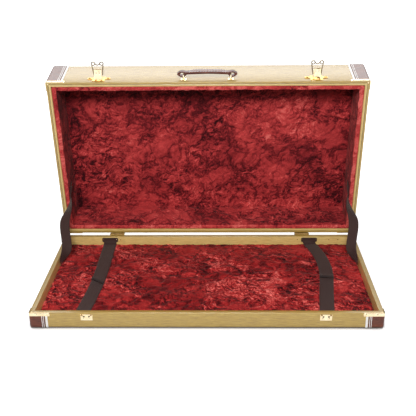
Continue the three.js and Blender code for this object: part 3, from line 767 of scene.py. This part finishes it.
tray_pad = Skin()
PAD_X = INNER_X - LINING_GAP
PAD_Y = INNER_Y - LINING_GAP
tray_held = slab(tray_pad, (-PAD_X, PAD_X), (-PAD_Y, PAD_Y), TRAY_PAD, 5, PAD_STEP, tray_relief)
tray_plush = tray_pad.build(
    "tray_plush", lambda p: tray_space(np.asarray(p) + (0, 0, PANEL + GAP)), TRAY_PLUSH, BODY_TRAY,
    ["tray_lining_pad"], sharp=75)
pressed_down = [i for i, (x, y, _) in enumerate(tray_pad.points)
                if any(abs(x - route_x(end, y)) < TIE_WIDTH / 2 + 5 for end, _ in ENDS)]
crush(tray_plush, [*tray_held, *pressed_down], COVER_GROWTH, COVER_REACH)

BACK_V = SHELL_DEPTH - PANEL - GAP


def back_space(points):
    s, t, h = np.asarray(points, float).T
    return shell_space(np.stack([s, BACK_V - h, t], 1))


back_pad = Skin()
back_held = slab(
    back_pad, (-PAD_X, PAD_X),
    (HINGE_OFFSET + WALL + LINING_GAP, SHELL_HIGH - WALL - LINING_GAP), BACK_PAD, 3, PAD_STEP,
    lambda x, u: -0.4 + 2.0 * crumple(x, 0, u, 7.7))
back_plush = back_pad.build("shell_plush_back", back_space, PLUSH, BODY_SHELL,
                            ["shell_lining_back"], sharp=75)
# painted shade on the back pad towards its sides and its top, none in its middle
paint_pile_light(back_plush, [-0.9 * (1 - ease((INNER_X - SIDE_PAD - abs(x)) / 80)
                           * ease((SHELL_HIGH - WALL - SIDE_PAD - u) / 140))
                   for x, u, _ in back_pad.points])
crush(back_plush, back_held, COVER_GROWTH, COVER_REACH)


def side_lining():
    """One padded ring round the inside of the shell's four walls, its front edge rolled over."""
    plan = Loop(PAD_X, PAD_Y, 9, 6, arc_steps=5)
    front, back, roll = SHELL_DEPTH - 2.2, PANEL + 2 * GAP + BACK_PAD - 0.5, 3.5
    rows = [(0.0, back), (SIDE_PAD * 0.5, back)]
    rows += [(SIDE_PAD, z) for z in np.linspace(back, front - roll, 22)]
    for angle in np.radians([15, 30, 48, 66, 84]):
        rows.append((SIDE_PAD - roll * (1 - math.cos(angle)), front - roll * (1 - math.sin(angle))))
    rows += [(4.0, front), (1.2, front - 0.6), (0.0, front - 2.5)]
    outward = plan.outward()
    centre = plan.ring(0)
    skin = Skin()
    table = []
    for inset, z in rows:
        ring = plan.ring(inset)
        share = ease((inset - 3) / 8) * ease((z - back) / 12)
        bumps = np.array([crumple(x * 1.1, y * 1.1, z * 1.4, 5.2) for x, y in centre])
        push = share * (0.3 + 1.5 * bumps)
        lift = np.zeros(len(ring))
        if z > front - roll:
            lift = 0.5 * share * bumps
        wave = np.array([noise.noise(Vector((x, y, 40.0)) * 0.07) for x, y in centre])
        push = push + 2.6 * wave * ease((z - front + 14) / 10) * ease(inset / SIDE_PAD)
        ring = ring - outward * push[:, None]
        table.append(skin.ring(np.column_stack([ring, z + lift])))
    table.append(table[0])
    lengths = travelled(rows)
    lengths = np.append(lengths, lengths[-1] + front - back)
    skin.grid(table, np.stack(np.meshgrid(plan.along, lengths), -1))
    piece = skin.build("shell_plush_sides", shell_box_space, PLUSH, BODY_SHELL,
                       [f"shell_lining_{w}" for w in WALLS], sharp=75)
    # a painted highlight on the rolled front edge, painted shade on the linings of the two ends and
    # the handle side
    paint_pile_light(piece, [1.0 if z > front - roll else -0.7 * float(y < INNER_Y - 2 * SIDE_PAD)
                  for _, y, z in skin.points])
    return piece


side_plush = side_lining()


# ------------------------------------------------------------------ webbing
def strap(skin, stations, width, thickness):
    """A band of webbing: stations are (point, direction of its width, face direction), and the
    length of a width direction says how much of the full width the band has there."""
    across = np.array([-1, -0.97, -0.8, -0.4, 0, 0.4, 0.8, 0.97, 1])
    crown = np.array([0.35, 0.85, 1, 1, 1, 1, 1, 0.85, 0.35])
    section = [(a, c) for a, c in zip(across, crown)]
    section += [(a, -c) for a, c in zip(across[::-1], crown[::-1])]
    table = []
    for point, side, face in stations:
        side, face = Vector(side), Vector(face).normalized()
        table.append(skin.ring([
            Vector(point) + side * (a * width / 2) + face * (c * thickness / 2) for a, c in section]))
    lengths = travelled([point for point, _, _ in stations])
    around = travelled([(a * width / 2, c) for a, c in section + section[:1]])
    skin.grid(table, np.stack(np.meshgrid(around, lengths), -1))
    for row in (0, -1):
        loop = table[row][:-1]
        skin.cap(loop, [(0, 0)] * len(loop))


def stay(end, side):
    """A taut stay that turns half a turn between the tray's wall and the shell's wall."""
    foot = Vector((side * (INNER_X - STAY_FOOT[0]), *STAY_FOOT[1:]))
    head_shell = (side * (INNER_X - SIDE_PAD - STAY_HEAD[0]), *STAY_HEAD[1:])
    head = Vector(shell_space([head_shell])[0]) / MM
    along = (head - foot).normalized()
    flat = Vector((0, 1, 0))
    flat = (flat - along * along.dot(flat)).normalized()
    stations = []
    steps = 60
    for step in range(steps + 1):
        t = step / steps
        quarters = float(ease(t / 0.26) + ease((t - 0.42) / 0.5))
        turn = Matrix.Rotation(quarters * math.pi / 2 * side, 3, along)
        across = turn @ flat
        boxed = float(1 - ease((t - 0.1) / 0.42) * ease((0.86 - t) / 0.34))
        inward = boxed * abs(across.normalized().x) * STAY_WIDTH / 2
        bow = Vector((side * (5.0 * (1 - boxed) * math.sin(math.pi * t) ** 2 - inward), 0, 0))
        stations.append((foot.lerp(head, t) + bow, across.normalized(), along.cross(across)))
    skin = Skin()
    strap(skin, stations, STAY_WIDTH, WEBBING)
    piece = skin.build(f"stay_{end}", tray_space, STRAP, None, [f"stay_strap_{end}"])
    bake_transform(piece)
    return foot, head_shell


tray_studs = Skin()
shell_studs = Skin()
for end_name, end_side in ENDS:
    stay_foot, stay_head = stay(end_name, end_side)
    dome(tray_studs, stay_foot + Vector((-end_side * 0.9, 0, 4)), (-end_side, 0, 0), 4.2, 1.6)
    dome(shell_studs, (stay_head[0] - end_side * 0.9, stay_head[1], stay_head[2] - 6),
         (-end_side, 0, 0), 4.2, 1.6)


def tie_strap(end, wall_y, lap_y, skew, level, lifted, material, node):
    """Half of a tie-down strap: up the wall, then over the plush to its lapped end."""
    outward = math.copysign(1, wall_y)
    length = abs(wall_y - 12 * outward - lap_y)
    profile = [(wall_y + 1.6 * outward, 15.5), (wall_y + 1.4 * outward, 11),
               (wall_y + 0.6 * outward, 6.5), (wall_y - 1.6 * outward, 3),
               (wall_y - 5.5 * outward, 0.9)]
    steps = int(length / 7)
    profile += [(wall_y - outward * (12 + length * i / steps), 0) for i in range(steps + 1)]
    stations = []
    for i, (y, rise) in enumerate(profile):
        held = min(max(y, -270), 270)
        x = float(route_x(end, held))
        slope = float(route_x(end, held + 2) - route_x(end, held - 2)) / 4
        tip = float(ease(1 - abs(y - lap_y) / 34)) if lifted else 0.0
        swell = 0.35 * noise.noise(Vector((x, y, level)) * 0.03)
        ahead = profile[min(i + 1, len(profile) - 1)]
        behind = profile[max(i - 1, 0)]
        along = Vector((0, ahead[0] - behind[0], ahead[1] - behind[1])).normalized()
        side = Vector((1, -slope, 0)).normalized()
        stations.append([Vector((x, y, level + rise + tip * lifted + swell)), side,
                         side.cross(along)])
    skin = Skin()
    strap(skin, stations, TIE_WIDTH, WEBBING)
    for i, (x, y, z) in enumerate(skin.points):
        share = float(ease(1 - abs(y - lap_y) / SKEW_REACH))
        offset = (x - float(route_x(end, min(max(y, -270), 270)))) / TIE_WIDTH
        skin.points[i] = (x, y + skew * offset * share, z)
    return skin.build(f"tie_{node}_{end}", tray_space, material, BODY_TRAY,
                      [f"tie_strap_{node}_{end}"])


TIE_LOW = PAD_TOP + 0.9
TIE_HIGH = TIE_LOW + WEBBING + 0.1
TAB_SHAPE = ((31, 0.86), (32, 0.95), (34, 1), (38, 1), (44, 1), (46, 0.95), (47, 0.84))
LAPS = {"left": (-38, -36), "right": (-9, -7)}
for end_name, end_side in ENDS:
    lap, skew = LAPS[end_name]
    tie_strap(end_name, 270, lap, skew, TIE_HIGH, 1.6, STRAP, "hinge")
    tie_strap(end_name, -270, 50, 0, TIE_LOW, 0.0, STRAP, "front")
    hem = Skin()
    ends_at = []
    for share in (0.0, 0.35, 0.7, 1.0):
        y = lap + HEM_LENGTH * share
        x = float(route_x(end_name, y))
        ends_at.append((Vector((x, y, TIE_HIGH + 1.7)), (1, skew / TIE_WIDTH, 0), (0, 0, 1)))
    strap(hem, ends_at, TIE_WIDTH + 0.6, 3.6)
    hem.build(f"tie_hem_{end_name}", tray_space, STRAP_DARK, BODY_TRAY)
    tab = Skin()
    tab_x = float(route_x(end_name, 270))
    tab_y = INNER_Y - 1.0
    strap(tab, [((tab_x, tab_y, z), (share, 0, 0), (0, -1, 0)) for z, share in TAB_SHAPE],
          TAB_WIDTH, 2.6)
    tab.build(f"tie_tab_{end_name}", tray_space, STRAP, BODY_TRAY)
    for offset in (-TAB_STUD_X, TAB_STUD_X):
        dome(tray_studs, (tab_x + offset, tab_y - 1.3, 41), (0, -1, 0), 1.8, 0.8)

for end_name, offsets in WALL_NAILS.items():
    for offset in offsets:
        at = (float(route_x(end_name, 270)) + offset, INNER_Y + 0.2, 39)
        dome(tray_studs, at, (0, -1, 0), 2.0, 0.9)

tray_studs.build("tray_studs", tray_space, BRASS, BODY_TRAY)
shell_studs.build("shell_studs", shell_space, BRASS, BODY_SHELL)


# ------------------------------------------------------------------ handle
def handle_space(points):
    """Points (x, across, height) of the handle, across from its middle line."""
    x, across, height = np.asarray(points, float).T
    return shell_space(np.stack([x, HANDLE_V + across, SHELL_HIGH + height], 1))


def handle_leather():
    upper = [(40, 30.2), (64, 27.2), (74, 28.8), (82, 29.8), (90, 26), (96.5, 20.4)]
    lower = [(90, 14), (82, 10.8), (75, 12), (69, 15.6), (64, 19.6), (40, 21.6)]
    half = upper + lower
    mirrored = [(-x, z) for x, z in reversed(half)]
    outline = spline([(0, 31)] + half + [(0, 22.7)] + mirrored + [(0, 31)], 8)[:-1]
    angles = np.linspace(0, 2 * math.pi, 20, endpoint=False)
    holes = [np.stack([side * 80.6 + 8.4 * np.cos(angles), 20.2 + 4.9 * np.sin(angles)], 1)
             for side in (-1, 1)]
    bevel = 2.2
    curve = bpy.data.curves.new("handle_outline", "CURVE")
    curve.dimensions = "2D"
    curve.fill_mode = "BOTH"
    curve.extrude = HANDLE_WIDTH / 2 - bevel
    curve.bevel_depth = bevel
    curve.bevel_resolution = 3
    curve.offset = -bevel
    for line in [outline] + holes:
        run = curve.splines.new("POLY")
        run.points.add(len(line) - 1)
        run.use_cyclic_u = True
        for point, (x, z) in zip(run.points, line):
            point.co = (x, z, 0, 1)
    former = bpy.data.objects.new("handle_former", curve)
    bpy.context.scene.collection.objects.link(former)
    solved = former.evaluated_get(bpy.context.evaluated_depsgraph_get())
    mesh = bpy.data.meshes.new_from_object(solved)
    bpy.data.objects.remove(former)
    points = np.array([v.co for v in mesh.vertices])
    x, height, depth = points.T
    narrow = 1 + (HANDLE_END_WIDTH / HANDLE_WIDTH - 1) * ease((np.abs(x) - 46) / 26)
    place = handle_space(np.stack([x, depth * narrow, height], 1))
    mesh.vertices.foreach_set("co", place.astype(np.float32).ravel())
    weld = bmesh.new()
    weld.from_mesh(mesh)
    bmesh.ops.remove_doubles(weld, verts=weld.verts, dist=0.00002)
    weld.to_mesh(mesh)
    weld.free()
    return finish_piece("handle_leather", mesh, LEATHER, "handle", ["handle_strap"],
                        sharp=50)


def top_height(x):
    line = spline([(-64, 27.2), (-40, 30.2), (0, 31), (40, 30.2), (64, 27.2)], 10)
    return float(np.interp(x, line[:, 0], line[:, 1]))


def stitch(skin, start, end, radius):
    """One stitch: a short thread with tapered ends, half sunk into the leather."""
    axis = Vector(end) - Vector(start)
    taper = ((0.35, 0.0), (0.8, 0.12), (1.0, 0.3), (1.0, 0.7), (0.8, 0.88), (0.35, 1.0))
    profile = [(radius * size, axis.length * share) for size, share in taper]
    rings = turned(skin, start, axis.normalized(), profile, 8)
    skin.cap(rings[-1][:-1], [(0, 0)] * 8)


STITCH_ROW = 8.6
STITCH_LENGTH = 3.4
handle_leather()
threads = Skin()
for across in (-STITCH_ROW, STITCH_ROW):
    for x in np.arange(-58, 58, 5.0):
        far = x + STITCH_LENGTH
        stitch(threads, (x, across, top_height(x) + 0.05), (far, across, top_height(far) + 0.05), 0.5)
threads.build("handle_stitches", handle_space, TRIM, "handle")


# ------------------------------------------------------------------ latch bails, and painted shade in the keeper's slot openings
def tube(skin, line, radius, closed=False):
    """A round wire along a line of (x, height) points in the plane of a bail."""
    line = np.asarray(line, float)
    ahead = np.roll(line, -1, 0) - np.roll(line, 1, 0)
    if not closed:
        ahead[0], ahead[-1] = line[1] - line[0], line[-1] - line[-2]
    ahead /= np.linalg.norm(ahead, axis=1)[:, None]
    angles = np.arange(12) / 12 * 2 * math.pi
    rings = []
    for (x, h), (dx, dh) in zip(line, ahead):
        rings.append(skin.ring([
            (x - dh * radius * math.cos(a), radius * math.sin(a), h + dx * radius * math.cos(a))
            for a in angles]))
    if closed:
        rings.append(rings[0])
    skin.grid(rings, np.stack(np.meshgrid(np.arange(13.0), np.arange(len(rings) * 1.0)), -1))
    if not closed:
        skin.cap(rings[0][:-1], [(0, 0)] * 12)
        skin.cap(rings[-1][:-1], [(0, 0)] * 12)


def latch_bail(end, side):
    """One bent wire: two legs, a round ear at the top of each, and a dip between them."""
    turns = np.radians(np.linspace(-30, 150, 9))
    ear = [(EAR_X + EAR_R * math.cos(a), EAR_H + EAR_R * math.sin(a)) for a in turns]
    half = LEG + ear + [LEG_END]
    line = half + [DIP] + [(-x, h) for x, h in reversed(half)]
    skin = Skin()
    tube(skin, spline(line, 5), BAIL_WIRE)
    around = np.radians(np.arange(0, 360, 15))
    for ear_side in (-1, 1):
        tube(skin, [(ear_side * (EAR_X + EAR_R * math.cos(a)), EAR_H + EAR_R * math.sin(a))
                    for a in around], BAIL_WIRE * 0.9, closed=True)
    skin.build(f"bail_wire_{end}", lambda p: shell_space(
        np.asarray(p) + (side * LATCH_X, BAIL_V, SHELL_HIGH + BAIL_BASE)), AGED_BRASS,
        f"latch_bail_{end}", [f"latch_bail_{end}"])


def box(skin, low, high):
    (x0, y0, z0), (x1, y1, z1) = low, high
    i = skin.add([(x, y, z) for z in (z0, z1) for x, y in ((x0, y0), (x1, y0), (x1, y1), (x0, y1))])
    for face in ((3, 2, 1, 0), (4, 5, 6, 7), (0, 1, 5, 4), (1, 2, 6, 5), (2, 3, 7, 6), (3, 0, 4, 7)):
        skin.cap([i[k] for k in face], [(0, 0)] * 4)


for end_name, end_side in ENDS:
    latch_bail(end_name, end_side)
    # dark boxes in the keeper's slot openings: painted shade
    shade_boxes = Skin()
    face_y = -HALF_Y - KEEPER_FACE
    half_width = KEEPER_SLOT_SHADE["half_width"]
    for centre in (-KEEPER_SLOT_SHADE["x"], KEEPER_SLOT_SHADE["x"]):
        x = end_side * LATCH_X + centre
        box(shade_boxes, (x - half_width, face_y - 0.25, KEEPER_SLOT_SHADE["low"]),
            (x + half_width, face_y + 0.3, KEEPER_SLOT_SHADE["high"]))
    shade_boxes.build(f"keeper_slots_{end_name}", tray_space, SLOT_SHADE_METAL, BODY_TRAY)


# ------------------------------------------------------------------ hardware from the frame
def dress(node, material, width):
    """A CAD node keeps its shape, and gets its material and softly broken edges."""
    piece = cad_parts[node]
    piece.data.materials.clear()
    piece.data.materials.append(material)
    weld = piece.modifiers.new("weld", "WELD")
    weld.merge_threshold = 0.00001
    flatten = piece.modifiers.new("flatten", "DECIMATE")
    flatten.decimate_type = "DISSOLVE"
    flatten.angle_limit = math.radians(0.5)
    bevel = piece.modifiers.new("bevel", "BEVEL")
    bevel.width = width
    bevel.segments = 2
    bevel.limit_method = "ANGLE"
    bevel.angle_limit = math.radians(40)


for end_name, _ in ENDS:
    for stem in ("hinge_leaf_tray", "hinge_leaf_shell"):
        dress(f"{stem}_{end_name}", HINGE_BRASS, 0.0003)
    for stem in ("keeper", "latch_lever", "handle_foot", "handle_link"):
        dress(f"{stem}_{end_name}", BRASS, 0.0003)
    # the latch bases take the brass with painted shade and reflection
    dress(f"latch_base_{end_name}", WARM_SHADED_BRASS, 0.0003)
    dress(f"hinge_pin_{end_name}", STEEL, 0.0002)


# ------------------------------------------------------------------ floor, light and camera
FLOOR_REACH = 30.0
FLOOR_LEVEL = -0.4


def make_floor():
    r = Recipe("pale_floor")
    dust = r.noise(r.place(), 3.0, 2.0, 0.5)
    white = r.ramp(dust, [(0.3, (0.93, 0.93, 0.93)), (0.7, (0.95, 0.95, 0.95))])
    # darker colour and less glow where the case stands close: a painted contact shadow
    painted_contact_shadow = r.node("ShaderNodeAmbientOcclusion", {"Distance": 0.03}, samples=12).outputs["AO"]
    colour = r.mix(r.ramp(painted_contact_shadow, [(0.35, (0, 0, 0)), (0.75, (1, 1, 1))]), (0.09, 0.065, 0.045), white)
    distance = r.node("ShaderNodeVectorMath", {0: r.place()}, operation="LENGTH").outputs["Value"]
    far = r.ramp(r.math("DIVIDE", distance, 5.0), [(0.2, (0.5, 0.5, 0.5)), (0.6, (1, 1, 1))])
    # the floor glows, more further from the middle, with the painted contact shadow taken out of the
    # glow
    glow = r.mix(painted_contact_shadow, (0, 0, 0), far)
    return r.finish(Base_Color=colour, Roughness=0.9, Specular_IOR_Level=0.1,
                    Emission_Color=glow, Emission_Strength=1.0)


floor_mesh = bpy.data.meshes.new("floor")
floor_mesh.from_pydata([(FLOOR_REACH * x, FLOOR_REACH * y, FLOOR_LEVEL * MM)
                        for x, y in ((-1, -1), (1, -1), (1, 1), (-1, 1))], [], [(0, 1, 2, 3)])
floor_mesh.materials.append(make_floor())
floor = bpy.data.objects.new("floor", floor_mesh)
bpy.context.scene.collection.objects.link(floor)
floor.visible_diffuse = False


def area_light(name, at, target, size, power):
    light = bpy.data.lights.new(name, "AREA")
    light.shape = "RECTANGLE"
    light.size, light.size_y = size
    light.energy = power
    lamp = bpy.data.objects.new(name, light)
    lamp.location = at
    lamp.rotation_euler = (Vector(target) - Vector(at)).to_track_quat("-Z", "Y").to_euler()
    bpy.context.scene.collection.objects.link(lamp)


area_light("key", (-0.1, -2.7, 2.05), (0, 0.15, 0.3), (1.0, 0.8), 86)
area_light("back", (0.0, 2.3, 2.5), (0, 0.3, 0.6), (3.2, 1.9), 60)

world = bpy.data.worlds.new("studio")
world.use_nodes = True
sky = world.node_tree.nodes
rise = sky.new("ShaderNodeSeparateXYZ")
world.node_tree.links.new(sky.new("ShaderNodeTexCoord").outputs["Generated"], rise.inputs[0])
fade = sky.new("ShaderNodeValToRGB")
fade.color_ramp.elements[0].position = 0.42
fade.color_ramp.elements[0].color = (0.62, 0.6, 0.58, 1)
fade.color_ramp.elements[1].position = 0.6
world.node_tree.links.new(rise.outputs["Z"], fade.inputs["Fac"])
world.node_tree.links.new(fade.outputs["Color"], sky["Background"].inputs["Color"])
sky["Background"].inputs["Strength"].default_value = 0.35
bpy.context.scene.world = world
bpy.context.scene.view_settings.view_transform = "Standard"

SENSOR = 36.0
FOCAL_LENGTH = 66.655
STANDPOINT = (0.0525, -2.2642, 1.1505)
PITCH = math.radians(23.421)
YAW = math.radians(1.4196)
ROLL = math.radians(-0.6377)
lens = bpy.data.cameras.new("camera")
lens.sensor_width = SENSOR
lens.lens = FOCAL_LENGTH
lens.shift_x = 0.0042
lens.shift_y = 0.0689
lens.clip_end = 50
forward = Vector((-math.sin(YAW) * math.cos(PITCH), math.cos(YAW) * math.cos(PITCH), -math.sin(PITCH)))
level = Vector((math.cos(YAW), math.sin(YAW), 0))
upward = level.cross(forward)
right = level * math.cos(ROLL) + upward * math.sin(ROLL)
above = upward * math.cos(ROLL) - level * math.sin(ROLL)
camera = bpy.data.objects.new("camera", lens)
camera.matrix_world = Matrix.Translation(STANDPOINT) @ Matrix(
    (right, above, -forward)).transposed().to_4x4()
bpy.context.scene.collection.objects.link(camera)
bpy.context.scene.camera = camera
